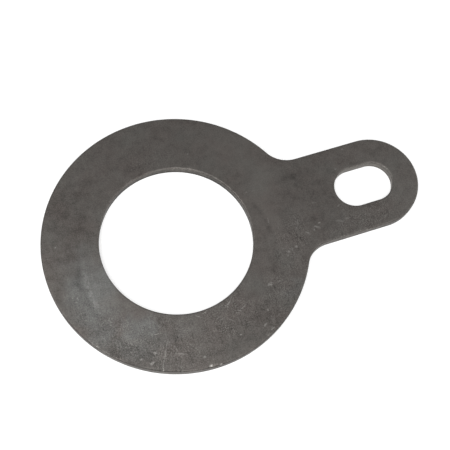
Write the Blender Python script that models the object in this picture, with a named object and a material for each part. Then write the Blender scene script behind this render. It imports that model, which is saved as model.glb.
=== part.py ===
"""Tabbed thrust washer, punched in one stroke from steel plate.

A flat ring carries a round-ended tab, blended into it by two fillets. The bore takes a
pivot pin, and the tab's slot takes the bolt that stops the washer from turning.
One piece, in metres. It lies on its lower face at z = 0, with the tab along +X, and the
origin is midway along its length.
"""

import math

import bmesh
import bpy

# Ring
OUTER_DIAMETER = 0.0889
BORE_DIAMETER = 0.0511
THICKNESS = 0.003175

# Tab, with its slot. The slot's outer round end shares its centre with the tab's end.
TAB_REACH = 0.07035
TAB_WIDTH = 0.03175
FILLET_RADIUS = 0.0097
SLOT_WIDTH = 0.0139
SLOT_TRAVEL = 0.0066

# Punched edge: the punch rolls the upper corner over and shears the wall below it,
# and the last of the plate breaks away a little behind the sheared wall.
ROLLOVER_WIDTH = 0.0005
ROLLOVER_DEPTH = 0.0004
BREAK_WIDTH = 0.00005
BREAK_HEIGHT = 0.0011

# Facets
RING_STEPS = 110
BORE_STEPS = 96
END_STEPS = 36
SLOT_STEPS = 20
FILLET_STEPS = 10
ROLLOVER_STEPS = 4
CREASE_ANGLE = math.radians(35.0)

# Finish: dark satin steel
STEEL_COLOUR = (0.135, 0.125, 0.116, 1.0)
STEEL_ROUGHNESS = 0.45
STEEL_METALLIC = 0.9


def arc(centre_x, centre_y, radius, start, end, steps):
    """Points along an arc, both ends included."""
    points = []
    for step in range(steps + 1):
        angle = start + (end - start) * step / steps
        points.append((centre_x + radius * math.cos(angle), centre_y + radius * math.sin(angle)))
    return points


def fillet_centre():
    """Centre of the fillet on the tab's +Y side: tangent to the ring and to the tab's edge."""
    y = 0.5 * TAB_WIDTH + FILLET_RADIUS
    x = math.sqrt((0.5 * OUTER_DIAMETER + FILLET_RADIUS) ** 2 - y ** 2)
    return x, y


def blank_outline(inset):
    """Outer outline, anticlockwise from the +Y fillet, drawn in by inset."""
    fillet_x, fillet_y = fillet_centre()
    neck_angle = math.atan2(fillet_y, fillet_x)
    quarter = 0.5 * math.pi
    ring_radius = 0.5 * OUTER_DIAMETER - inset
    end_radius = 0.5 * TAB_WIDTH - inset
    fillet_radius = FILLET_RADIUS + inset
    ring = arc(0.0, 0.0, ring_radius, neck_angle, 2.0 * math.pi - neck_angle, RING_STEPS)
    near_fillet = arc(fillet_x, -fillet_y, fillet_radius, math.pi - neck_angle, quarter, FILLET_STEPS)
    tab_end = arc(TAB_REACH, 0.0, end_radius, -quarter, quarter, END_STEPS)
    far_fillet = arc(fillet_x, fillet_y, fillet_radius, -quarter, neck_angle - math.pi, FILLET_STEPS)
    return ring + near_fillet[1:] + tab_end + far_fillet[:-1]


def bore_outline(inset):
    """Outline of the pin's bore, opened out by inset."""
    circle = arc(0.0, 0.0, 0.5 * BORE_DIAMETER + inset, 0.0, 2.0 * math.pi, BORE_STEPS)
    return circle[:-1]


def slot_outline(inset):
    """Outline of the tab's slot, opened out by inset."""
    radius = 0.5 * SLOT_WIDTH + inset
    quarter = 0.5 * math.pi
    outer_end = arc(TAB_REACH, 0.0, radius, -quarter, quarter, SLOT_STEPS)
    inner_end = arc(TAB_REACH - SLOT_TRAVEL, 0.0, radius, quarter, 3.0 * quarter, SLOT_STEPS)
    return outer_end + inner_end


def punched_section():
    """Section of the punched edge, from the lower face to the upper, as (inset, height)."""
    wall_top = THICKNESS - ROLLOVER_DEPTH
    section = [(BREAK_WIDTH, 0.0), (0.0, BREAK_HEIGHT)]
    for step in range(ROLLOVER_STEPS + 1):
        turn = 0.5 * math.pi * step / ROLLOVER_STEPS
        inset = ROLLOVER_WIDTH * (1.0 - math.cos(turn))
        section.append((inset, wall_top + ROLLOVER_DEPTH * math.sin(turn)))
    return section


def add_loop(mesh, outline, shift, height):
    """Closed loop of edges at one height, moved along X by shift."""
    verts = [mesh.verts.new((x + shift, y, height)) for x, y in outline]
    return [mesh.edges.new((verts[i - 1], verts[i])) for i in range(len(verts))]


def add_wall(mesh, outline, shift):
    """Punched wall round one outline. Returns its lowest and highest loops of edges."""
    loops = [add_loop(mesh, outline(inset), shift, height) for inset, height in punched_section()]
    for lower, upper in zip(loops, loops[1:]):
        bmesh.ops.bridge_loops(mesh, edges=lower + upper)
    return loops[0], loops[-1]


def steel():
    """Dark satin steel, as it leaves the press."""
    material = bpy.data.materials.new("dark_satin_steel")
    material.use_nodes = True
    shader = material.node_tree.nodes["Principled BSDF"]
    shader.inputs["Base Color"].default_value = STEEL_COLOUR
    shader.inputs["Roughness"].default_value = STEEL_ROUGHNESS
    shader.inputs["Metallic"].default_value = STEEL_METALLIC
    material.diffuse_color = STEEL_COLOUR
    return material


def build_washer():
    """The washer: three punched walls, closed by the plate's flat faces."""
    length = 0.5 * OUTER_DIAMETER + TAB_REACH + 0.5 * TAB_WIDTH
    bore_x = 0.5 * OUTER_DIAMETER - 0.5 * length
    mesh = bmesh.new()
    lower_edges = []
    upper_edges = []
    for outline in (blank_outline, bore_outline, slot_outline):
        lowest, highest = add_wall(mesh, outline, bore_x)
        lower_edges += lowest
        upper_edges += highest
    for rim in (lower_edges, upper_edges):
        bmesh.ops.triangle_fill(mesh, edges=rim, use_beauty=True)
    bmesh.ops.recalc_face_normals(mesh, faces=mesh.faces)
    data = bpy.data.meshes.new("thrust_washer")
    mesh.to_mesh(data)
    mesh.free()
    data.shade_smooth()
    data.set_sharp_from_angle(angle=CREASE_ANGLE)
    data.materials.append(steel())
    washer = bpy.data.objects.new("thrust_washer", data)
    bpy.context.scene.collection.objects.link(washer)
    return washer


def main():
    for old in list(bpy.data.objects):
        bpy.data.objects.remove(old, do_unlink=True)
    build_washer()


main()
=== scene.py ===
"""Looks of the tabbed thrust washer: a fine mesh of the punched plate, its worn steel, a white floor,
soft light and the camera. Lengths are in metres."""

import math

import bmesh
import bpy
import numpy as np
from mathutils import Matrix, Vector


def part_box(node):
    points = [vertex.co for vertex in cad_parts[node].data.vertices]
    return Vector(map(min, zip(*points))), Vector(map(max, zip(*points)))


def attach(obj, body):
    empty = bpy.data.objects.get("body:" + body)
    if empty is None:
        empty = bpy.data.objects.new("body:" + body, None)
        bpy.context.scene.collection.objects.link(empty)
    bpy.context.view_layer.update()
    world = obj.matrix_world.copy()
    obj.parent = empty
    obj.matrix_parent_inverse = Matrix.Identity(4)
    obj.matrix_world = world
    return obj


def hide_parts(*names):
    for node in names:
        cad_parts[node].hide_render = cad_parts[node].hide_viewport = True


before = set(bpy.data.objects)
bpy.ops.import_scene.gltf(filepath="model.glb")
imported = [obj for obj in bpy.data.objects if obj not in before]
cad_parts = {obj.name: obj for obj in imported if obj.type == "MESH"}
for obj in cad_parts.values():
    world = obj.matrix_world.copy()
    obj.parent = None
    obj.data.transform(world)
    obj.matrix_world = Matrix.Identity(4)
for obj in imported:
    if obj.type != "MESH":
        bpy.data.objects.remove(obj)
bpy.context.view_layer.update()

MILLIMETRE = 0.001
QUARTER = 0.5 * math.pi

# Washer, as its solid has it
PLATE_LOW, PLATE_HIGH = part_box("thrust_washer")
THICKNESS = PLATE_HIGH.z - PLATE_LOW.z
RING_RADIUS = 0.04445
BORE_RADIUS = 0.02555
TAB_REACH = 0.07035
TAB_HALF_WIDTH = 0.015875
FILLET_RADIUS = 0.0097
SLOT_RADIUS = 0.00695
SLOT_TRAVEL = 0.0066
BORE_X = PLATE_LOW.x + RING_RADIUS

# Fillets: centre of the upper one, and the angle at which it leaves the ring
FILLET_Y = TAB_HALF_WIDTH + FILLET_RADIUS
FILLET_X = math.sqrt((RING_RADIUS + FILLET_RADIUS) ** 2 - FILLET_Y ** 2)
NECK_ANGLE = math.atan2(FILLET_Y, FILLET_X)

# Punched edge
ROLLOVER_WIDTH = 0.0005
ROLLOVER_DEPTH = 0.0004
BREAK_WIDTH = 0.00005
BREAK_HEIGHT = 0.0011

# Unevenness of the punched edge: its sizes, and for each random line how many waves it has and how their
# heights fall off. The scores and the tear have waves down to a few points long.
ROLLOVER_VARIATION = 0.12
ROLLOVER_RIPPLE = (14, 0.6)
BREAK_VARIATION = 0.22
BREAK_RIPPLE = (90, 0.5)
SCORE_DEPTH = 0.000012
SCORE_FALL = 0.1
TORN_DEPTH = 0.00002
TORN_FALL = 0.15
FINEST_WAVE = 3
OUTER_SEED = 10
BORE_SEED = 30
SLOT_SEED = 50

# Hollow of the tear: part of a half wave that it starts at, and the part that it covers
HOLLOW_START = 0.15
HOLLOW_SPAN = 0.7

# Mesh
EDGE_SPACING = 0.00036
FEWEST_POINTS = 3
RING_BANDS = 26
TAB_BANDS = 12
ROLLOVER_BANDS = 6
SHEAR_BANDS = 4
BREAK_BANDS = 5
SEAM_GAP = 1e-6
CREASE_ANGLE = math.radians(40.0)

# Place down the punched section: where its rolled edge, its sheared band and the whole section end
ROLLOVER_END = 1.0
SHEAR_END = 2.0
SECTION_END = 3.0

# Place of the slot's wall among the three walls
SLOT_WALL = 2


def arc(x, y, radius, start, end, count):
    """Points on an arc: the centre plus the radius along a direction that turns evenly from start
    to end."""
    turn = np.linspace(start, end, count)
    return np.stack([x + radius * np.cos(turn), y + radius * np.sin(turn)], axis=1)


def straight(start, end, count):
    """Points on a straight line, evenly spaced, both ends included."""
    share = np.linspace(0.0, 1.0, count)[:, None]
    return np.asarray(start) * (1.0 - share) + np.asarray(end) * share


def steps(length):
    """Points that a stretch of that length needs at the edge spacing."""
    return max(FEWEST_POINTS, int(round(length / EDGE_SPACING)) + 1)


def plate_spine():
    """Outer outline, anticlockwise, as (point, outward normal) rows. Each stretch is an arc or a line,
    so an offset outline is the point plus the normal times the offset. Also returns how many points
    lie on the ring and the two fillets, which come first."""
    fillet_count = steps(FILLET_RADIUS * (math.pi - NECK_ANGLE - QUARTER))
    ring_count = steps(RING_RADIUS * 2.0 * (math.pi - NECK_ANGLE))
    end_count = steps(TAB_HALF_WIDTH * math.pi)
    side_count = steps(TAB_REACH - FILLET_X)
    upper = arc(0.0, 0.0, 1.0, -QUARTER, NECK_ANGLE - math.pi, fillet_count)
    ring = arc(0.0, 0.0, 1.0, NECK_ANGLE, 2.0 * math.pi - NECK_ANGLE, ring_count)[1:-1]
    lower = arc(0.0, 0.0, 1.0, math.pi - NECK_ANGLE, QUARTER, fillet_count)
    end = arc(0.0, 0.0, 1.0, -QUARTER, QUARTER, end_count)
    lower_side = straight((FILLET_X, -TAB_HALF_WIDTH), (TAB_REACH, -TAB_HALF_WIDTH), side_count)[1:-1]
    upper_side = lower_side[::-1] * (1.0, -1.0)
    points = np.concatenate([
        (FILLET_X, FILLET_Y) + FILLET_RADIUS * upper,
        RING_RADIUS * ring,
        (FILLET_X, -FILLET_Y) + FILLET_RADIUS * lower,
        lower_side,
        (TAB_REACH, 0.0) + TAB_HALF_WIDTH * end,
        upper_side])
    normals = np.concatenate([
        -upper,
        ring,
        -lower,
        np.tile((0.0, -1.0), (len(lower_side), 1)),
        end,
        np.tile((0.0, 1.0), (len(upper_side), 1))])
    return points, normals, 2 * fillet_count + len(ring)


def hole_spine(points, first, last, radius):
    """Outline of a round or round-ended hole, one point for each outer point: from the nearest place on
    the hole's centreline, one radius towards that outer point. The normal points into the hole."""
    centre = np.stack([np.clip(points[:, 0], first, last), np.zeros(len(points))], axis=1)
    spoke = points - centre
    spoke /= np.linalg.norm(spoke, axis=1, keepdims=True)
    return centre + radius * spoke, -spoke


def ripple(count, waves, fall, seed):
    """Closed random line: a sum of whole waves round the loop, whose heights fall off with their number."""
    rng = np.random.default_rng(seed)
    number = np.arange(1, waves + 1)
    height = rng.normal(size=(2, waves)) / number ** fall
    angle = 2.0 * math.pi * np.outer(np.arange(count) / count, number)
    line = np.cos(angle) @ height[0] + np.sin(angle) @ height[1]
    return line / np.abs(line).max()


def wall(points, normals, seed):
    """Punched wall round one outline, as a grid of section by place along the outline.
    The section is a quarter ellipse from the upper face, a straight scored band, and a torn band
    that falls back towards the lower face. Waves along the outline vary the ellipse's width, the
    height where the tear starts and the depth of the scores and of the tear. Returns the points, and
    how far down the section each lies: 1 where the ellipse ends, 2 where the tear starts, 3 at the end."""
    count = len(points)
    finest = count // FINEST_WAVE
    width = ROLLOVER_WIDTH * (1.0 + ROLLOVER_VARIATION * ripple(count, *ROLLOVER_RIPPLE, seed))
    tear = BREAK_HEIGHT * (1.0 + BREAK_VARIATION * ripple(count, *BREAK_RIPPLE, seed + 1))
    score = SCORE_DEPTH * (1.0 + ripple(count, finest, SCORE_FALL, seed + 2))
    grain = np.stack([1.0 + ripple(count, finest, TORN_FALL, seed + 3 + band) for band in range(BREAK_BANDS)])
    along = np.ones(count)
    rolled = np.outer(np.linspace(0.0, 1.0, ROLLOVER_BANDS + 1), along)
    sheared = np.outer(np.linspace(0.0, 1.0, SHEAR_BANDS + 1)[1:], along)
    torn = np.outer(np.linspace(0.0, 1.0, BREAK_BANDS + 1)[1:], along)
    hollow = TORN_DEPTH * grain * np.sin(math.pi * (HOLLOW_START + HOLLOW_SPAN * torn))
    wall_top = THICKNESS - ROLLOVER_DEPTH
    inset = np.concatenate([
        width * (1.0 - np.sin(QUARTER * rolled)),
        score * np.sin(math.pi * sheared),
        BREAK_WIDTH * torn + hollow])
    height = np.concatenate([
        wall_top + ROLLOVER_DEPTH * np.cos(QUARTER * rolled),
        wall_top * (1.0 - sheared) + tear * sheared,
        tear * (1.0 - torn)])
    flat = points[None] - normals[None] * inset[..., None]
    down = np.concatenate([rolled, ROLLOVER_END + sheared, SHEAR_END + torn])
    return np.concatenate([flat, height[..., None]], axis=2), down


def face(outer, hole, bands):
    """Flat face between two closed loops: each hole point joined to its outer point by a straight
    spoke, with the rows closer together near both edges."""
    share = 0.5 - 0.5 * np.cos(np.linspace(0.0, math.pi, bands + 1))[:, None, None]
    return hole[None] * (1.0 - share) + outer[None] * share


def ring_loop(loop, neck_count, neck_line):
    """Loop round the ring: the plate's outline up to the tab, closed along the neck line."""
    return np.concatenate([loop[:neck_count], neck_line[1:-1]])


def tab_loop(loop, neck_count, neck_line):
    """Loop round the tab: the plate's outline past the neck, closed back along the neck line."""
    return np.concatenate([loop[neck_count - 1:], loop[:1], neck_line[-2:0:-1]])


def grid_faces(rows, columns, first):
    """Four-sided faces of a grid that closes on itself along its columns."""
    index = first + np.arange(rows * columns).reshape(rows, columns)
    after = np.roll(index, -1, axis=1)
    return np.stack([index[:-1], after[:-1], after[1:], index[1:]], axis=-1).reshape(-1, 4)


# Nicks on the plate's edges: place from the bore's centre, reach and depth
EDGE_NICKS = (
    (-0.0027, -0.0442, 0.0007, 0.00016),
    (-0.0014, -0.0443, 0.0005, 0.00012),
    (-0.0196, -0.0398, 0.0009, 0.00012),
    (0.0178, -0.0406, 0.0008, 0.00014),
    (0.0306, 0.0320, 0.0008, 0.00010),
    (0.0118, 0.0227, 0.0007, 0.00012),
    (0.0095, -0.0238, 0.0006, 0.00010),
    (-0.0433, 0.0098, 0.0008, 0.00010),
    (0.0835, -0.0091, 0.0007, 0.00010),
)

# How fast a nick grows shallower down the wall: the power of the height that its depth follows
NICK_FALL = 3


def dent(points):
    """Presses the nicks in: each lowers the upper face by a bell curve of the distance to its place,
    most at the top of the plate and less down the wall."""
    dented = points.copy()
    high = np.clip(points[:, 2] / THICKNESS, 0.0, 1.0) ** NICK_FALL
    for x, y, reach, depth in EDGE_NICKS:
        away = (points[:, 0] - x) ** 2 + (points[:, 1] - y) ** 2
        dented[:, 2] -= depth * high * np.exp(-away / reach ** 2)
    return dented


# Parts that the points are taken in to find their distances, which keeps the arrays small
DISTANCE_PARTS = 24


def edge_distance(points, outlines):
    """Shortest distance from each point to the outlines' sample points, in plan."""
    samples = np.concatenate(outlines)
    parts = np.array_split(points[:, None, :2], DISTANCE_PARTS)
    return np.concatenate([np.sqrt(((part - samples) ** 2).sum(axis=2).min(axis=1)) for part in parts])


# Drift that makes the soft patches uneven: its waves, their lengths, its reach and its seed
DRIFT_WAVES = 12
DRIFT_LENGTHS = (0.006, 0.030)
DRIFT_REACH = 0.006
DRIFT_SEED = 70

# Share of a soft patch's radius over which it fades
PATCH_FADE = 0.75

# Soft patches on the upper face, in millimetres and degrees round the bore's centre: x, y, turn, length,
# width and strength
COOL_PATCHES = (
    (-31.5, -8.0, 85.0, 36.0, 26.0, 0.95),
    (-33.0, -21.0, 118.0, 28.0, 14.0, 0.75),
    (-20.5, -24.5, -40.0, 20.0, 15.0, 0.85),
    (-25.0, -30.0, -45.0, 26.0, 10.0, 0.50),
    (-10.0, -30.0, -15.0, 18.0, 10.0, 0.30),
    (31.0, -27.0, 50.0, 10.0, 8.0, 0.45),
)
BROWN_STAINS = (
    (-24.5, -19.8, 118.0, 10.0, 5.0, 0.95),
    (-28.0, -25.0, 100.0, 8.0, 5.0, 0.6),
    (-14.0, -26.0, -20.0, 12.0, 6.0, 0.7),
    (-41.0, -4.0, 85.0, 12.0, 6.0, 0.5),
)
PALE_PATCHES = (
    (-38.5, -8.0, 80.0, 22.0, 9.0, 0.09),
    (-24.5, -16.0, -55.0, 14.0, 9.0, 0.06),
    (-20.0, -25.0, -40.0, 16.0, 11.0, 0.18),
    (-31.0, -20.0, -62.0, 20.0, 10.0, 0.07),
    (6.0, -29.0, 12.0, 26.0, 10.0, 0.06),
    (-6.0, -34.0, 0.0, 16.0, 14.0, 0.06),
    (69.0, 12.0, 10.0, 30.0, 8.0, 0.10),
    (28.0, 26.0, -45.0, 32.0, 18.0, 0.22),
    (33.5, 9.0, 72.0, 30.0, 16.0, 0.36),
    (35.0, -15.0, 55.0, 18.0, 12.0, 0.07),
    (31.5, -5.0, 90.0, 28.0, 14.0, 0.31),
    (-4.0, -27.5, -8.0, 16.0, 7.0, 0.10),
    (-6.2, -29.7, 0.0, 6.0, 5.0, 0.16),
    (-20.5, -18.0, -50.0, 16.0, 8.0, 0.12),
    (78.0, -5.0, 80.0, 26.0, 16.0, 0.10),
)
DARK_PATCHES = (
    (42.7, 9.6, -12.0, 7.0, 3.4, 0.36),
    (45.5, 10.0, 75.0, 22.0, 14.0, 0.14),
    (51.5, -2.0, 85.0, 40.0, 18.0, 0.11),
    (36.4, 13.8, 10.0, 5.0, 4.0, 0.40),
    (-2.0, 29.0, 0.0, 16.0, 7.0, 0.05),
    (-31.0, 18.0, 60.0, 40.0, 28.0, 0.13),
    (-34.8, -3.0, 96.0, 16.0, 4.0, 0.22),
    (-25.0, -19.8, 70.0, 7.0, 4.0, 0.14),
    (-41.5, -12.0, 108.0, 22.0, 5.0, 0.08),
    (17.0, -36.0, 25.0, 34.0, 13.0, 0.15),
    (27.5, -30.0, 50.0, 20.0, 12.0, 0.12),
    (-24.5, -34.5, -38.0, 32.0, 11.0, 0.20),
    (9.5, -40.3, 12.0, 24.0, 9.0, 0.17),
)

# Worn stretches of the upper face, where the grain is coarser and bare flecks show
WORN_PATCHES = (
    (-32.0, -15.0, 80.0, 34.0, 22.0, 0.45),
    (-28.0, -26.0, -45.0, 26.0, 24.0, 0.65),
    (-14.0, -33.0, -20.0, 50.0, 26.0, 0.7),
    (8.0, -31.0, 15.0, 30.0, 20.0, 0.8),
    (25.0, -29.0, 50.0, 26.0, 18.0, 0.6),
    (36.0, -13.0, 60.0, 28.0, 17.0, 0.9),
    (62.0, -11.0, 10.0, 40.0, 12.0, 0.8),
    (0.0, 30.0, 0.0, 24.0, 10.0, 0.25),
)

# Stretches of the rolled edges, and of the walls below them, that have painted highlight and painted shade,
# in the same terms
# Painted highlight on the rolled edges
ROLL_PAINTED_HIGHLIGHTS = (
    (8.0, 24.3, -18.0, 26.0, 10.0, 0.66),
    (-12.5, 22.3, 30.0, 30.0, 10.0, 0.75),
    (-3.5, 25.3, 8.0, 26.0, 8.0, 0.85),
    (-33.3, -29.4, -48.0, 9.0, 6.0, 0.20),
    (-14.0, -42.1, -18.0, 42.0, 12.0, 0.42),
    (65.0, 7.0, 0.0, 23.0, 7.0, 1.25),
    (76.2, 3.4, -62.0, 16.0, 7.0, 0.70),
    (58.0, -15.9, 0.0, 36.0, 8.0, 0.50),
)
# Painted shade on the rolled edges
ROLL_PAINTED_SHADES = (
    (-18.8, -40.3, -25.0, 34.0, 11.0, 0.40),
    (-39.2, -20.9, -62.0, 16.0, 8.0, 0.22),
    (-2.5, -44.4, -3.0, 14.0, 8.0, 0.25),
)
# Painted highlight on the walls
WALL_PAINTED_HIGHLIGHTS = (
    (-27.4, -35.0, -38.0, 26.0, 11.0, 0.60),
    (-13.0, -42.5, -17.0, 30.0, 11.0, 0.60),
    (8.3, 24.2, -19.0, 14.0, 9.0, 0.30),
    (58.0, -15.9, 0.0, 36.0, 8.0, 0.25),
)
# Painted shade on the walls
WALL_PAINTED_SHADES = (
    (65.0, 7.0, 0.0, 23.0, 7.0, 0.08),
    (77.0, 2.5, 105.0, 12.0, 7.0, 0.10),
    (-13.0, 22.0, 30.0, 20.0, 8.0, 0.12),
)

# Circle off the bore's centre where another part has rubbed: the face inside it is paler on the left, and
# its groove line has a painted highlight there and painted shade on the right
RUB_CENTRE = (-0.0008, -0.0070, 0.0)
RUB_RADIUS = 0.0315
GROOVE_HIGHLIGHT_WIDTH = 0.0034
GROOVE_SHADE_WIDTH = 0.0032
RUB_FADE = 0.0006
PALE_INSIDE = ((-28.0, -9.0, 85.0, 30.0, 16.0, 0.30), (-22.0, -20.0, -45.0, 18.0, 14.0, 0.10))
# Where the groove line has its painted highlight, and where its painted shade
GROOVE_HIGHLIGHT = ((-31.5, -7.5, 88.0, 26.0, 20.0, 0.52), (-25.0, -26.0, -45.0, 22.0, 14.0, 0.24))
GROOVE_SHADE = ((31.0, -6.0, 85.0, 46.0, 20.0, 0.26), (22.0, -28.0, 40.0, 20.0, 14.0, 0.12))

# Small marks on the upper face, in the same terms
SCRATCHES = (
    (-13.7, -32.7, 63.0, 3.8, 0.40, 0.50),
    (-15.1, -35.3, 62.0, 3.4, 0.42, 0.60),
    (-16.3, -37.6, 62.0, 3.2, 0.44, 0.70),
    (-17.3, -39.9, 70.0, 3.2, 0.44, 0.70),
    (-10.2, -37.2, -18.0, 3.6, 0.50, 0.6),
    (-16.0, -28.6, -5.0, 4.6, 0.40, 0.6),
    (9.4, -25.9, 40.0, 2.6, 0.50, 1.0),
    (8.3, -26.8, -50.0, 2.2, 0.45, 0.9),
    (13.3, -28.6, 25.0, 2.8, 0.50, 0.9),
    (12.0, -29.4, -30.0, 2.4, 0.45, 0.7),
    (1.0, -26.5, 20.0, 3.0, 0.45, 0.9),
    (-1.4, -27.2, -35.0, 2.6, 0.45, 0.8),
    (10.7, -29.9, 0.0, 2.2, 0.40, 0.6),
    (5.0, -30.5, 15.0, 3.2, 0.35, 0.5),
    (8.3, -31.6, -20.0, 2.0, 0.40, 0.6),
    (27.9, 9.1, 10.0, 1.8, 0.35, 0.7),
    (30.0, 8.8, 20.0, 1.2, 0.35, 0.6),
    (48.4, -1.5, -15.0, 2.2, 0.35, 0.7),
    (55.9, -4.9, 20.0, 1.6, 0.50, 0.7),
    (35.4, -14.6, 60.0, 2.4, 0.45, 0.7),
    (33.4, -16.4, 60.0, 1.6, 0.45, 0.7),
    (31.2, -3.0, 70.0, 3.0, 0.40, 0.6),
    (-19.6, -37.2, 10.0, 1.9, 0.50, 0.9),
    (-30.0, -4.0, 85.0, 3.4, 0.40, 0.4),
    (68.0, -13.8, 25.0, 3.6, 0.40, 0.4),
)
SPECKS = (
    (24.4, -24.0, 5.0, 2.8, 1.3, 0.8),
    (27.6, -23.9, 0.0, 0.9, 0.8, 0.6),
    (20.7, -32.0, 0.0, 0.9, 0.8, 0.7),
    (9.6, -36.9, 0.0, 1.0, 0.8, 0.7),
    (18.0, -36.5, 30.0, 2.4, 1.0, 0.6),
    (20.1, -38.3, 25.0, 2.2, 0.8, 0.6),
    (0.5, -44.2, 0.0, 1.3, 0.7, 0.8),
    (-2.7, -43.6, 20.0, 1.4, 0.9, 1.0),
    (-3.7, -40.3, 0.0, 1.4, 0.9, 0.8),
    (0.4, -40.0, 0.0, 0.9, 0.8, 0.7),
    (47.4, -8.9, 0.0, 1.0, 0.9, 1.0),
    (44.9, -10.6, 0.0, 0.9, 0.7, 0.7),
    (39.6, -8.2, 0.0, 0.9, 0.7, 0.6),
    (37.1, -14.3, 0.0, 1.3, 0.9, 0.8),
    (42.5, -11.0, -40.0, 2.2, 0.9, 0.6),
    (33.9, -15.3, -30.0, 2.2, 1.0, 0.7),
    (35.2, -14.7, -20.0, 1.8, 0.8, 0.5),
    (46.2, -9.9, -40.0, 3.0, 0.9, 0.6),
    (54.4, -10.2, -20.0, 3.6, 1.3, 0.35),
    (57.2, -10.0, 0.0, 2.4, 1.0, 0.35),
    (69.6, -13.0, 0.0, 3.4, 1.4, 0.3),
    (13.1, 28.3, 0.0, 0.9, 0.7, 0.7),
    (64.8, 14.3, 0.0, 1.0, 0.8, 0.7),
    (59.7, 8.0, 0.0, 0.8, 0.7, 0.5),
    (-20.0, -37.2, 15.0, 2.2, 1.3, 0.75),
    (-18.2, -34.3, -10.0, 2.0, 1.0, 0.7),
    (-22.8, -35.1, 0.0, 1.7, 0.9, 0.6),
    (-37.9, -9.0, 60.0, 1.2, 0.5, 0.6),
    (-36.4, -9.6, 110.0, 1.3, 0.5, 0.6),
    (-37.2, -10.8, 0.0, 1.3, 0.5, 0.6),
    (-38.5, 9.2, 0.0, 1.0, 0.8, 0.6),
    (-42.0, 6.1, 0.0, 0.9, 0.8, 0.4),
    (-12.0, -36.5, 0.0, 1.0, 0.8, 0.5),
)


def drifted(points):
    """Points moved about in plan by up to the drift's reach: a mean of seeded plane waves for each
    direction."""
    rng = np.random.default_rng(DRIFT_SEED)
    heading = rng.uniform(0.0, 2.0 * math.pi, DRIFT_WAVES)
    number = 2.0 * math.pi / rng.uniform(*DRIFT_LENGTHS, DRIFT_WAVES)
    phase = rng.uniform(0.0, 2.0 * math.pi, (2, DRIFT_WAVES))
    travel = points[:, :1] * (np.cos(heading) * number) + points[:, 1:2] * (np.sin(heading) * number)
    shift = [np.sin(travel + start).mean(axis=1) for start in phase]
    return points[:, :2] + DRIFT_REACH * np.stack(shift, axis=1)


def patches(places, table):
    """Strongest of a table's soft patches at each place. A patch is an oval, level at its middle, whose
    strength falls towards its outline as a smooth step."""
    strongest = np.zeros(len(places))
    for x, y, turn, length, width, strength in table:
        angle = math.radians(turn)
        offset = places / MILLIMETRE - (x, y)
        along = offset @ (math.cos(angle), math.sin(angle)) / (0.5 * length)
        across = offset @ (-math.sin(angle), math.cos(angle)) / (0.5 * width)
        near = np.clip((1.0 - np.hypot(along, across)) / PATCH_FADE, 0.0, 1.0)
        strongest = np.maximum(strongest, strength * near * near * (3.0 - 2.0 * near))
    return strongest


def face_values(points):
    """Values at each point that the finishes follow. On the upper face: its cool share, its lightening (the
    pale patches less the dark ones), its wear, and how strongly the rubbed circle's pale inside and its
    groove line's painted highlight and painted shade show. At the edges: the rolled edge's painted highlight
    and painted shade, and the wall's painted highlight less its painted shade."""
    places = drifted(points)
    fixed = points[:, :2]
    upper = points[:, 2] > 0.5 * THICKNESS
    return {
        "cool": upper * patches(places, COOL_PATCHES) * (1.0 - patches(places, BROWN_STAINS)),
        "lighten": upper * (patches(places, PALE_PATCHES) - patches(places, DARK_PATCHES)),
        "wear": upper * patches(places, WORN_PATCHES),
        "pale_inside": upper * patches(fixed, PALE_INSIDE),
        "groove_highlight": upper * patches(fixed, GROOVE_HIGHLIGHT),
        "groove_shade": upper * patches(fixed, GROOVE_SHADE),
        "roll_painted_highlight": patches(fixed, ROLL_PAINTED_HIGHLIGHTS),
        "roll_painted_shade": patches(fixed, ROLL_PAINTED_SHADES),
        "wall_painted_light": patches(fixed, WALL_PAINTED_HIGHLIGHTS) - patches(fixed, WALL_PAINTED_SHADES)}


def plate_grids():
    """The plate's surfaces as grids of points, each with how far down the punched section its points
    lie: the three walls, then the ring's and the tab's faces above and below, which share the neck
    line's points. Also returns the three outlines."""
    outer, outward, neck_count = plate_spine()
    neck_steps = steps(2.0 * TAB_HALF_WIDTH)
    neck = straight((FILLET_X, -TAB_HALF_WIDTH), (FILLET_X, TAB_HALF_WIDTH), neck_steps)
    bore, into_bore = hole_spine(ring_loop(outer, neck_count, neck), 0.0, 0.0, BORE_RADIUS)
    round_tab = tab_loop(outer, neck_count, neck)
    slot, into_slot = hole_spine(round_tab, TAB_REACH - SLOT_TRAVEL, TAB_REACH, SLOT_RADIUS)
    walls = [
        wall(outer, outward, OUTER_SEED),
        wall(bore, into_bore, BORE_SEED),
        wall(slot, into_slot, SLOT_SEED)]
    grids = [grid for grid, down in walls]
    downs = [down for grid, down in walls]
    for row, place in ((0, 0.0), (-1, SECTION_END)):
        rim, bore_rim, slot_rim = (grid[row] for grid, down in walls)
        line = straight(rim[neck_count - 1], rim[0], neck_steps)
        for loop, hole, bands in ((ring_loop, bore_rim, RING_BANDS), (tab_loop, slot_rim, TAB_BANDS)):
            grids.append(face(loop(rim, neck_count, line), hole, bands))
            downs.append(np.full(grids[-1].shape[:2], place))
    return grids, downs, (outer, bore, slot)


def plate_mesh():
    """Whole plate as one closed mesh. Returns the points, the faces, which faces are cut steel, and the
    values at each point that the finishes follow."""
    grids, downs, outlines = plate_grids()
    faces = []
    cut = []
    first = 0
    for down in downs:
        faces.append(grid_faces(*down.shape, first))
        middle = 0.5 * (down[:-1] + down[1:])
        cut.append(((middle > ROLLOVER_END) & (middle < SECTION_END)).ravel())
        first += down.size
    points = dent(np.concatenate([grid.reshape(-1, 3) for grid in grids]))
    in_slot = [np.full(down.size, float(index == SLOT_WALL)) for index, down in enumerate(downs)]
    values = face_values(points)
    values["edge_distance"] = edge_distance(points, outlines)
    values["down_section"] = np.concatenate([down.ravel() for down in downs])
    values["in_slot"] = np.concatenate(in_slot)
    return points + (BORE_X, 0.0, PLATE_LOW.z), np.concatenate(faces), np.concatenate(cut), values


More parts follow.
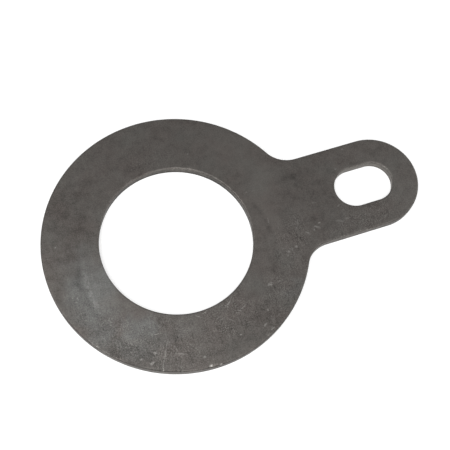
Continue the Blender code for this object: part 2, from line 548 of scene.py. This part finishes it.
def build_plate(steel, sheared):
    """Object of the plate, with its seams merged and its faces turned outwards."""
    points, faces, cut, values = plate_mesh()
    data = bpy.data.meshes.new("washer_plate")
    data.from_pydata(points, [], faces)
    data.materials.append(steel)
    data.materials.append(sheared)
    data.polygons.foreach_set("material_index", cut.astype(np.int32))
    for name, value in values.items():
        data.attributes.new(name, "FLOAT", "POINT").data.foreach_set("value", value)
    work = bmesh.new()
    work.from_mesh(data)
    bmesh.ops.remove_doubles(work, verts=work.verts, dist=SEAM_GAP)
    bmesh.ops.recalc_face_normals(work, faces=work.faces)
    work.to_mesh(data)
    work.free()
    data.shade_smooth()
    data.set_sharp_from_angle(angle=CREASE_ANGLE)
    plate = bpy.data.objects.new("washer_plate", data)
    bpy.context.scene.collection.objects.link(plate)
    return plate


def add(tree, kind, inputs=None, **settings):
    """New node with its settings, and its inputs set to values or linked from sockets."""
    node = tree.nodes.new(kind)
    for name, value in settings.items():
        setattr(node, name, value)
    for name, value in (inputs or {}).items():
        if isinstance(value, bpy.types.NodeSocket):
            tree.links.new(value, node.inputs[name])
        else:
            node.inputs[name].default_value = value
    return node


def maths(tree, operation, first, second=0.0):
    """Result of one sum on two values or sockets."""
    return add(tree, "ShaderNodeMath", {0: first, 1: second}, operation=operation).outputs[0]


def product(tree, *values):
    """Product of several values or sockets."""
    result = values[0]
    for value in values[1:]:
        result = maths(tree, "MULTIPLY", result, value)
    return result


def total(tree, *values):
    """Sum of several values or sockets."""
    result = values[0]
    for value in values[1:]:
        result = maths(tree, "ADD", result, value)
    return result


def vector_maths(tree, operation, first, second, third=(0.0, 0.0, 0.0), output="Vector"):
    """Result of one sum on vectors or sockets."""
    node = add(tree, "ShaderNodeVectorMath", {0: first, 1: second, 2: third}, operation=operation)
    return node.outputs[output]


def ranged(tree, value, low, high, to_low=0.0, to_high=1.0, smooth=False):
    """Value moved from one range to another, held at the ends."""
    kind = "SMOOTHSTEP" if smooth else "LINEAR"
    inputs = {"Value": value, "From Min": low, "From Max": high, "To Min": to_low, "To Max": to_high}
    return add(tree, "ShaderNodeMapRange", inputs, interpolation_type=kind).outputs["Result"]


def kept_value(tree, name):
    """Value that the mesh keeps at its points."""
    return add(tree, "ShaderNodeAttribute", attribute_name=name).outputs["Fac"]


def noise(tree, vector, scale, detail, roughness):
    """Cloudy noise with scale features to the metre."""
    inputs = {"Vector": vector, "Scale": scale, "Detail": detail, "Roughness": roughness}
    return add(tree, "ShaderNodeTexNoise", inputs).outputs["Fac"]


def crests(tree, place, scale, detail, roughness, low, high):
    """Crests of a noise, from nothing at its low value to full at its high one."""
    return ranged(tree, noise(tree, place, scale, detail, roughness), low, high)


def scaled(tree, vector, scale):
    """Vector with each of its parts scaled."""
    return add(tree, "ShaderNodeMapping", {"Vector": vector, "Scale": scale}).outputs["Vector"]


def around_bore(tree):
    """Object coordinates, moved so that they start at the bore's centre."""
    place = add(tree, "ShaderNodeTexCoord").outputs["Object"]
    inputs = {"Vector": place, "Location": (-BORE_X, 0.0, 0.0)}
    return add(tree, "ShaderNodeMapping", inputs).outputs["Vector"]


def wander(tree, place, scale, detail, reach):
    """Places moved about by up to half the reach, so that a shape drawn on them has an uneven outline."""
    inputs = {"Vector": place, "Scale": scale, "Detail": detail}
    drift = add(tree, "ShaderNodeTexNoise", inputs).outputs["Color"]
    centred = vector_maths(tree, "SUBTRACT", drift, (0.5, 0.5, 0.5))
    return vector_maths(tree, "MULTIPLY_ADD", centred, (reach, reach, 0.0), place)


def mark(tree, place, x, y, turn, length, width, strength):
    """Small soft oval on the plate, of its strength at the core and nothing at the outline: one less the
    sum of the squared places along and across it, as shares of half its length and width."""
    angle = math.radians(turn)
    long_way = 2.0 / (length * MILLIMETRE)
    short_way = 2.0 / (width * MILLIMETRE)
    along = (math.cos(angle) * long_way, math.sin(angle) * long_way, 0.0)
    across = (-math.sin(angle) * short_way, math.cos(angle) * short_way, 0.0)
    offset = vector_maths(tree, "SUBTRACT", place, (x * MILLIMETRE, y * MILLIMETRE, 0.0))
    lengthways = vector_maths(tree, "DOT_PRODUCT", offset, along, output="Value")
    sideways = vector_maths(tree, "DOT_PRODUCT", offset, across, output="Value")
    away = maths(tree, "MULTIPLY", lengthways, lengthways)
    inputs = {0: sideways, 1: sideways, 2: away}
    away = add(tree, "ShaderNodeMath", inputs, operation="MULTIPLY_ADD").outputs[0]
    return ranged(tree, away, 1.0, 0.0, 0.0, strength)


def marks(tree, place, table):
    """Strongest of a table's small marks at each place."""
    strongest = mark(tree, place, *table[0])
    for row in table[1:]:
        strongest = maths(tree, "MAXIMUM", strongest, mark(tree, place, *row))
    return strongest


def blend_colour(tree, share, first, second, kind="MIX"):
    """Mix of two colours or colour sockets."""
    node = add(tree, "ShaderNodeMix", data_type="RGBA", blend_type=kind)
    for name, value in (("Factor_Float", share), ("A_Color", first), ("B_Color", second)):
        socket = next(s for s in node.inputs if s.identifier == name)
        if isinstance(value, bpy.types.NodeSocket):
            tree.links.new(value, socket)
        else:
            socket.default_value = value
    return next(s for s in node.outputs if s.identifier == "Result_Color")


def shaded(tree, colour, factor):
    """Colour times one value."""
    grey = add(tree, "ShaderNodeCombineColor", {0: factor, 1: factor, 2: factor}).outputs[0]
    return blend_colour(tree, 1.0, colour, grey, "MULTIPLY")


def new_material(name):
    """Material with a Principled shader. Returns the material, its tree and the shader."""
    material = bpy.data.materials.new(name)
    material.use_nodes = True
    tree = material.node_tree
    return material, tree, tree.nodes["Principled BSDF"]


def finish(tree, shader, colour, roughness, tint, relief, depth, strength):
    """Joins a steel's colour, roughness and relief to its shader, and sets its metal and its tint."""
    tree.links.new(colour, shader.inputs["Base Color"])
    tree.links.new(roughness, shader.inputs["Roughness"])
    shader.inputs["Metallic"].default_value = STEEL_METALLIC
    shader.inputs["Specular Tint"].default_value = tint
    bump = add(tree, "ShaderNodeBump", {"Height": relief, "Distance": depth, "Strength": strength})
    tree.links.new(bump.outputs["Normal"], shader.inputs["Normal"])


# Steel: colours, metal, tint at low angles and relief
WARM_STEEL = (0.1340, 0.1185, 0.1095, 1.0)
PLAIN_STEEL = (0.1280, 0.1225, 0.1135, 1.0)
COOL_STEEL = (0.1490, 0.1500, 0.1445, 1.0)
BARE_STEEL = (0.400, 0.386, 0.366, 1.0)
STEEL_METALLIC = 0.85
FACE_TINT = (0.50, 0.49, 0.48, 1.0)
FACE_RELIEF = 0.00003
FACE_RELIEF_STRENGTH = 0.6
GRAIN_RELIEF = 0.6
MOTTLE_RELIEF = 0.8

# Values between which a noise mostly lies
NOISE_LOW = 0.3
NOISE_HIGH = 0.7

# Noises: features to the metre, detail and roughness
CLOUD = (110.0, 3.0, 0.55)
MOTTLE = (340.0, 3.0, 0.6)
GRAIN = (2600.0, 3.0, 0.75)
STREAK = (2200.0, 2.0, 0.5)
LINE_GRAIN = (1500.0, 2.0, 0.7)

# Features that are the crests of noises: the noise, and its values where they start and are full
CRUMBLE = (2600.0, 1.0, 0.5, 0.34, 0.54)
RIM_SPOTS = (420.0, 3.0, 0.7, 0.42, 0.66)
FLECKS = (2600.0, 1.0, 0.5, 0.54, 0.68)
FLECK_CLUSTERS = (230.0, 3.0, 0.6, 0.40, 0.62)
HAIRS = (2400.0, 0.0, 0.5, 0.74, 0.88)
HAIR_CLUSTERS = (150.0, 2.0, 0.5, 0.46, 0.64)
PITS = (1900.0, 1.0, 0.5, 0.42, 0.28)
PIT_CLUSTERS = (300.0, 2.0, 0.5, 0.48, 0.66)

# Most that each noise lightens or darkens the steel, and its share where the steel isn't worn. Also how
# dark the pits and how bare the flecks are.
CLOUD_STRENGTH = 0.10
MOTTLE_STRENGTH = 0.22
CLEAN_MOTTLE = 0.90
GRAIN_STRENGTH = 0.68
CLEAN_GRAIN = 0.52
STREAK_STRENGTH = 0.12
CLEAN_STREAKS = 0.2
PIT_SHADE = 0.35
FLECK_STRENGTH = 0.5

# Streaks and hairlines: the ways that they run, and the squeeze that draws them out
STREAK_TURNS = (15.0, 80.0, -8.0)
STREAK_SQUEEZE = 0.12
HAIR_TURNS = (28.0, -47.0, 84.0)
HAIR_SQUEEZE = 0.14

# Stretch that sets the noises of the two faces apart
FACES_APART = (1.0, 1.0, 12.0)

# Unevenness of the small marks' outlines: features to the metre, detail and reach
RAGGED = (900.0, 2.0, 0.0007)

# Heights up the plate where the small marks start to show and where they show in full
MARK_HEIGHTS = (0.4 * THICKNESS, 0.6 * THICKNESS)

# Cool tone in the mottle: the noise's low and high value, and the share of the tone at each
COOL_MOTTLE = (0.3, 0.6, 0.75, 1.0)

# Cloud values between which the steel turns from warm to plain
WARM_TO_PLAIN = (0.24, 0.76)

# Grain of the groove line's painted highlight: the noise's low and high value, and the highlight's strength
# at each
LINE_STRENGTHS = (0.35, 0.65, 0.3, 1.5)

# Roughness of the flat faces: a dark and a pale tone, and the roughness at each
FACE_ROUGHNESS = (-0.3, 0.5, 0.52, 0.36)

# Rolled edges: how much rougher they are than the flat and how much painted shade darkens them, how much more
# painted shade the slot has, how far the bare steel shows on them, and how much painted shade an edge needs
# to show none
ROLLED_ROUGHNESS = 0.30
ROLLED_SHADE = 0.10
SLOT_ROLLED_SHADE = 0.12
RIM_WEAR = 0.10
ROLL_SHADE_BARE_LIMIT = 0.3

# Places down the punched section: where the rolled edge's roughness and painted shade, and its painted
# highlight, start and are full, and where the crest of its painted shade starts, is full, falls off and ends
ROLL_PLACES = (0.0, 0.6)
ROLL_HIGHLIGHT_PLACES = (0.35, 0.8)
CREST_RISE = (0.0, 0.15)
CREST_FALL = (0.75, 0.4)


def uneven(tree, value, strength):
    """Noise spread either side of nought, up to the strength."""
    return ranged(tree, value, NOISE_LOW, NOISE_HIGH, -strength, strength)


def worn_share(tree, wear, clean):
    """Share of a pattern: whole where the steel is worn, and its clean share where it isn't."""
    return ranged(tree, wear, 0.0, 1.0, clean, 1.0)


def groove_light_line(tree, off_line, width, name):
    """Painted highlight and shade line of the rubbed circle's groove: full on it and gone half its width
    away, as strong as the mesh says.
    """
    return product(tree, ranged(tree, off_line, 0.5 * width, 0.0, smooth=True), kept_value(tree, name))


def rubbed_circle_and_groove_light(tree, place):
    """Tone of the rubbed circle, from the distance outside it: the pale inside, which ends over the fade,
    and the groove line's grainy painted highlight less its painted shade."""
    in_plan = vector_maths(tree, "MULTIPLY", place, (1.0, 1.0, 0.0))
    from_centre = vector_maths(tree, "DISTANCE", in_plan, RUB_CENTRE, output="Value")
    outside = maths(tree, "SUBTRACT", from_centre, RUB_RADIUS)
    off_line = maths(tree, "ABSOLUTE", outside)
    inside = product(tree, ranged(tree, outside, RUB_FADE, -RUB_FADE), kept_value(tree, "pale_inside"))
    grainy = ranged(tree, noise(tree, place, *LINE_GRAIN), *LINE_STRENGTHS)
    # Painted highlight of the groove line on the left, painted shade on the right
    pale = product(tree, groove_light_line(tree, off_line, GROOVE_HIGHLIGHT_WIDTH, "groove_highlight"), grainy)
    dark = groove_light_line(tree, off_line, GROOVE_SHADE_WIDTH, "groove_shade")
    return maths(tree, "SUBTRACT", total(tree, inside, pale), dark)


def drawn_out(tree, place, turn, squeeze):
    """Places turned in plan and squeezed one way, so that a noise on them is drawn out that way."""
    inputs = {"Vector": place, "Rotation": (0.0, 0.0, math.radians(turn)), "Scale": (1.0, squeeze, 1.0)}
    return add(tree, "ShaderNodeMapping", inputs).outputs["Vector"]


def streaks(tree, place, turn):
    """Fine streaks along one direction."""
    return uneven(tree, noise(tree, drawn_out(tree, place, turn, STREAK_SQUEEZE), *STREAK), STREAK_STRENGTH)


def bare_flecks(tree, place, wear):
    """Bare steel on the worn stretches: tiny flecks in clusters, and short straight hairlines that are
    the crests of noises drawn out one way."""
    clusters = crests(tree, place, *FLECK_CLUSTERS)
    flecks = crests(tree, place, *FLECKS)
    hairs = 0.0
    for turn in HAIR_TURNS:
        drawn = drawn_out(tree, place, turn, HAIR_SQUEEZE)
        hairs = maths(tree, "MAXIMUM", hairs, crests(tree, drawn, *HAIRS))
    hairs = product(tree, hairs, crests(tree, place, *HAIR_CLUSTERS))
    return product(tree, maths(tree, "MAXIMUM", product(tree, flecks, clusters), hairs), wear)


def dark_flecks(tree, place, wear):
    """Tiny dark pits on the worn stretches, in clusters."""
    return product(tree, crests(tree, place, *PITS), crests(tree, place, *PIT_CLUSTERS), wear)


def small_marks(tree, place, ragged):
    """Scratches and specks of the upper face, crumbled by a fine noise."""
    height = add(tree, "ShaderNodeSeparateXYZ", {0: place}).outputs["Z"]
    upper = ranged(tree, height, *MARK_HEIGHTS)
    crumbled = crests(tree, place, *CRUMBLE)
    strongest = maths(tree, "MAXIMUM", marks(tree, ragged, SCRATCHES), marks(tree, ragged, SPECKS))
    return product(tree, strongest, crumbled, upper)


def steel_tone(tree, place, ragged, wear, cloud, mottle, grain):
    """Lightening of the flat faces: clouds, mottle, grain, streaks, pits, the rubbed circle with its groove's
    painted highlight and painted shade, and the soft patches, added up."""
    clouds = uneven(tree, cloud, CLOUD_STRENGTH)
    mottles = product(tree, uneven(tree, mottle, MOTTLE_STRENGTH), worn_share(tree, wear, CLEAN_MOTTLE))
    grains = product(tree, uneven(tree, grain, GRAIN_STRENGTH), worn_share(tree, wear, CLEAN_GRAIN))
    brushed = total(tree, *(streaks(tree, place, turn) for turn in STREAK_TURNS))
    brushed = product(tree, brushed, worn_share(tree, wear, CLEAN_STREAKS))
    pits = product(tree, dark_flecks(tree, place, wear), -PIT_SHADE)
    circle = rubbed_circle_and_groove_light(tree, ragged)
    return total(tree, clouds, mottles, grains, brushed, pits, circle, kept_value(tree, "lighten"))


def steel_colour(tree, cloud, mottle):
    """Plain colour of the flat faces: warm to plain steel by the clouds, and cool on the cool patches."""
    colour = blend_colour(tree, ranged(tree, cloud, *WARM_TO_PLAIN), WARM_STEEL, PLAIN_STEEL)
    cool = product(tree, kept_value(tree, "cool"), ranged(tree, mottle, *COOL_MOTTLE))
    return blend_colour(tree, cool, colour, COOL_STEEL)


def rolled_painted_light(tree, down, on_roll):
    """Share of the flat's tone that the rolled edge has: less by its painted shade, more on its stretches of
    painted highlight, and less along the crest of its stretches of painted shade."""
    shade = total(tree, ROLLED_SHADE, product(tree, kept_value(tree, "in_slot"), SLOT_ROLLED_SHADE))
    tone = maths(tree, "SUBTRACT", 1.0, product(tree, on_roll, shade))
    paler = product(tree, ranged(tree, down, *ROLL_HIGHLIGHT_PLACES), kept_value(tree, "roll_painted_highlight"))
    crest = product(tree, ranged(tree, down, *CREST_RISE), ranged(tree, down, *CREST_FALL))
    duller = product(tree, crest, kept_value(tree, "roll_painted_shade"))
    return maths(tree, "SUBTRACT", total(tree, tone, paler), duller)


def bare_rim(tree, place):
    """Spots of bare steel along the rolled edges, but not where the roll has painted shade."""
    near_edge = ranged(tree, kept_value(tree, "edge_distance"), ROLLOVER_WIDTH, 0.0, smooth=True)
    # Bare spots are left off where the rolled edge has painted shade
    rubbed = ranged(tree, kept_value(tree, "roll_painted_shade"), ROLL_SHADE_BARE_LIMIT, 0.0)
    return product(tree, near_edge, crests(tree, place, *RIM_SPOTS), RIM_WEAR, rubbed)


def worn_steel_and_painted_light():
    """Dark satin steel of the flat faces and of their rolled edges: clouded and grained, with cool, pale
    and dark patches, a rubbed circle whose groove line has painted highlight and painted shade, flecks and
    scratches, and rolled edges that are partly bare and carry painted shade and stretches of painted
    highlight."""
    material, tree, shader = new_material("worn_dark_steel_and_painted_light")
    place = around_bore(tree)
    both_sides = scaled(tree, place, FACES_APART)
    ragged = wander(tree, place, *RAGGED)
    wear = kept_value(tree, "wear")
    nicks = small_marks(tree, place, ragged)
    cloud = noise(tree, both_sides, *CLOUD)
    mottle = noise(tree, both_sides, *MOTTLE)
    grain = noise(tree, place, *GRAIN)
    tone = steel_tone(tree, place, ragged, wear, cloud, mottle, grain)
    down = kept_value(tree, "down_section")
    on_roll = ranged(tree, down, *ROLL_PLACES)
    # Flat tone times the rolled edge's painted highlight and painted shade
    shade = product(tree, total(tree, 1.0, tone), rolled_painted_light(tree, down, on_roll))
    flecks = product(tree, bare_flecks(tree, place, wear), FLECK_STRENGTH)
    bare = maths(tree, "MAXIMUM", maths(tree, "MAXIMUM", nicks, bare_rim(tree, place)), flecks)
    colour = shaded(tree, steel_colour(tree, cloud, mottle), shade)
    colour = blend_colour(tree, bare, colour, BARE_STEEL)
    roughness = ranged(tree, total(tree, tone, bare), *FACE_ROUGHNESS)
    roughness = total(tree, roughness, product(tree, on_roll, ROLLED_ROUGHNESS))
    relief = total(tree, product(tree, grain, GRAIN_RELIEF), product(tree, mottle, MOTTLE_RELIEF))
    finish(tree, shader, colour, roughness, FACE_TINT, relief, FACE_RELIEF, FACE_RELIEF_STRENGTH)
    return material


# Cut steel of the walls: colours, tint at low angles, roughness of the sheared and the torn band, relief
SHEARED_DARK = (0.054, 0.049, 0.044, 1.0)
SHEARED_PALE = (0.106, 0.098, 0.090, 1.0)
TORN_DARK = (0.040, 0.037, 0.033, 1.0)
TORN_PALE = (0.078, 0.072, 0.066, 1.0)
# Colour of the painted light on the slot wall's tear
SLOT_TEAR_PAINTED_LIGHT = (0.200, 0.187, 0.173, 1.0)
WALL_TINT = (0.80, 0.79, 0.78, 1.0)
WALL_ROUGHNESS = (0.42, 0.6)
WALL_RELIEF = 0.00003
WALL_RELIEF_STRENGTH = 0.7
SCORE_RELIEF = 0.5

# Noises of the walls: features to the metre, detail and roughness, and the stretch that stands the scores up
SCORES = (1900.0, 3.0, 0.75)
CRUMBS = (1700.0, 4.0, 0.7)
SPREAD = (260.0, 3.0, 0.5)
UPRIGHT = (1.0, 1.0, 0.05)

# Tear: how far its start wanders down the section, and the places between which it takes over
TEAR_WANDER = 0.2
TEAR_PLACES = (1.9, 2.1)

# Shade of the walls where their broad noise is low and high
SPREAD_SHADES = (0.75, 1.25)

# Slot's wall: places down the section where the painted light on its tear starts and is full, and the crumbs'
# low and high value with the share of the painted light at each
SLOT_TEAR_PLACES = (0.7, 1.7)
SLOT_TEAR_CRUMBS = (0.3, 0.6, 0.5, 1.0)


def sheared_steel_and_painted_light():
    """Cut steel of the walls: upright scores down the sheared band, and a crumbled tear below. The tear in
    the slot is brightened by painted light, and stretches of the walls have painted highlight and painted
    shade."""
    material, tree, shader = new_material("sheared_steel_and_painted_light")
    place = around_bore(tree)
    down = kept_value(tree, "down_section")
    scores = noise(tree, scaled(tree, place, UPRIGHT), *SCORES)
    crumbs = noise(tree, place, *CRUMBS)
    spread = noise(tree, place, *SPREAD)
    torn = ranged(tree, total(tree, down, uneven(tree, crumbs, TEAR_WANDER)), *TEAR_PLACES)
    fresh = blend_colour(tree, ranged(tree, scores, NOISE_LOW, NOISE_HIGH), SHEARED_DARK, SHEARED_PALE)
    broken = blend_colour(tree, ranged(tree, crumbs, NOISE_LOW, NOISE_HIGH), TORN_DARK, TORN_PALE)
    colour = blend_colour(tree, torn, fresh, broken)
    colour = shaded(tree, colour, ranged(tree, spread, NOISE_LOW, NOISE_HIGH, *SPREAD_SHADES))
    # Painted light on the slot wall's tear, broken up by the crumbs
    slot_light_mask = product(tree, ranged(tree, down, *SLOT_TEAR_PLACES), ranged(tree, crumbs, *SLOT_TEAR_CRUMBS))
    colour = blend_colour(tree, product(tree, kept_value(tree, "in_slot"), slot_light_mask), colour, SLOT_TEAR_PAINTED_LIGHT)
    # Painted highlight and painted shade on stretches of the walls
    colour = shaded(tree, colour, total(tree, 1.0, kept_value(tree, "wall_painted_light")))
    roughness = ranged(tree, torn, 0.0, 1.0, *WALL_ROUGHNESS)
    relief = total(tree, product(tree, scores, SCORE_RELIEF), product(tree, crumbs, torn))
    finish(tree, shader, colour, roughness, WALL_TINT, relief, WALL_RELIEF, WALL_RELIEF_STRENGTH)
    return material


# Floor: a light table's, which glows softly. Its colour, glow, roughness, reach and gap under the plate
WHITE = (1.0, 1.0, 1.0, 1.0)
FLOOR_COLOUR = (0.45, 0.45, 0.45, 1.0)
FLOOR_GLOW = 0.62
FLOOR_ROUGHNESS = 0.9
FLOOR_REACH = 3.0
FLOOR_GAP = 0.00005


def white_floor():
    """Matt white floor with its glow."""
    material, tree, shader = new_material("white_floor")
    shader.inputs["Base Color"].default_value = FLOOR_COLOUR
    shader.inputs["Roughness"].default_value = FLOOR_ROUGHNESS
    shader.inputs["Emission Color"].default_value = WHITE
    shader.inputs["Emission Strength"].default_value = FLOOR_GLOW
    return material


def add_floor():
    """Wide plain floor just under the plate."""
    height = PLATE_LOW.z - FLOOR_GAP
    turns = ((-1.0, -1.0), (1.0, -1.0), (1.0, 1.0), (-1.0, 1.0))
    corners = [(FLOOR_REACH * x, FLOOR_REACH * y, height) for x, y in turns]
    data = bpy.data.meshes.new("floor")
    data.from_pydata(corners, [], [(0, 1, 2, 3)])
    data.materials.append(white_floor())
    floor = bpy.data.objects.new("floor", data)
    bpy.context.scene.collection.objects.link(floor)


# Camera: where it stands round the bore's centre, and its lens
CAMERA_TURN = math.radians(28.649)
CAMERA_RISE = math.radians(68.710)
CAMERA_ROLL = math.radians(10.420)
CAMERA_DISTANCE = 0.33267
CAMERA_ASIDE = 0.01598
CAMERA_ABOVE = 0.00474
CAMERA_NEAREST = 0.01
SENSOR_WIDTH = 36.0
LENS_PIXELS = 1008.71
PICTURE_WIDTH = 450.0


def turned(vector, angle):
    """Vector turned about the vertical."""
    cos, sin = math.cos(angle), math.sin(angle)
    x, y, z = vector
    return np.array([cos * x - sin * y, sin * x + cos * y, z])


def stood(columns, place):
    """Matrix that turns an object's axes to the columns and puts it at the place."""
    matrix = np.eye(4)
    matrix[:3, :3] = np.stack(columns, axis=1)
    matrix[:3, 3] = place
    return Matrix(matrix.tolist())


def add_camera():
    """Camera that looks down on the plate, rolled a little about its own line of sight."""
    level = np.array([1.0, 0.0, 0.0])
    back = np.array([0.0, -math.cos(CAMERA_RISE), math.sin(CAMERA_RISE)])
    climb = np.array([0.0, math.sin(CAMERA_RISE), math.cos(CAMERA_RISE)])
    right = math.cos(CAMERA_ROLL) * level + math.sin(CAMERA_ROLL) * climb
    up = math.cos(CAMERA_ROLL) * climb - math.sin(CAMERA_ROLL) * level
    place = CAMERA_ASIDE * right + CAMERA_ABOVE * up + CAMERA_DISTANCE * back
    right, up, back, place = (turned(v, -CAMERA_TURN) for v in (right, up, back, place))
    data = bpy.data.cameras.new("camera")
    data.sensor_fit = "HORIZONTAL"
    data.sensor_width = SENSOR_WIDTH
    data.lens = SENSOR_WIDTH * LENS_PIXELS / PICTURE_WIDTH
    data.clip_start = CAMERA_NEAREST
    camera = bpy.data.objects.new("camera", data)
    camera.matrix_world = stood((right, up, back), place + (BORE_X, 0.0, PLATE_HIGH.z))
    bpy.context.scene.collection.objects.link(camera)
    bpy.context.scene.camera = camera


# Softboxes: bearing from the camera's side, anticlockwise, and rise, in degrees; distance, size and power
SOFTBOXES = {
    "high_softbox": (-25.0, 62.0, 1.0, 0.9, 12.4),
    "back_softbox": (120.0, 30.0, 1.0, 0.9, 4.0),
    "front_softbox": (5.0, 16.0, 1.0, 0.5, 1.0),
}

# How bright the even surroundings are
SURROUNDINGS = 0.20


def add_softbox(name, bearing, rise, distance, size, power):
    """Square area light that faces the plate."""
    angle = -QUARTER - CAMERA_TURN + math.radians(bearing)
    tilt = math.radians(rise)
    level = math.cos(tilt)
    direction = np.array([level * math.cos(angle), level * math.sin(angle), math.sin(tilt)])
    side = np.cross((0.0, 0.0, 1.0), direction)
    side /= np.linalg.norm(side)
    data = bpy.data.lights.new(name, "AREA")
    data.shape = "SQUARE"
    data.size = size
    data.energy = power
    light = bpy.data.objects.new(name, data)
    light.matrix_world = stood((side, np.cross(direction, side), direction), distance * direction)
    bpy.context.scene.collection.objects.link(light)


def light_studio():
    """Dim even surroundings, a large softbox high over the near side, a lower one behind, and a weak low
    one in front."""
    world = bpy.data.worlds.new("studio")
    world.use_nodes = True
    background = world.node_tree.nodes["Background"]
    background.inputs["Color"].default_value = WHITE
    background.inputs["Strength"].default_value = SURROUNDINGS
    bpy.context.scene.world = world
    for name, settings in SOFTBOXES.items():
        add_softbox(name, *settings)
    bpy.context.scene.view_settings.view_transform = "Standard"


plate = build_plate(worn_steel_and_painted_light(), sheared_steel_and_painted_light())
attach(plate, "root")
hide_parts("thrust_washer")
add_floor()
light_studio()
add_camera()
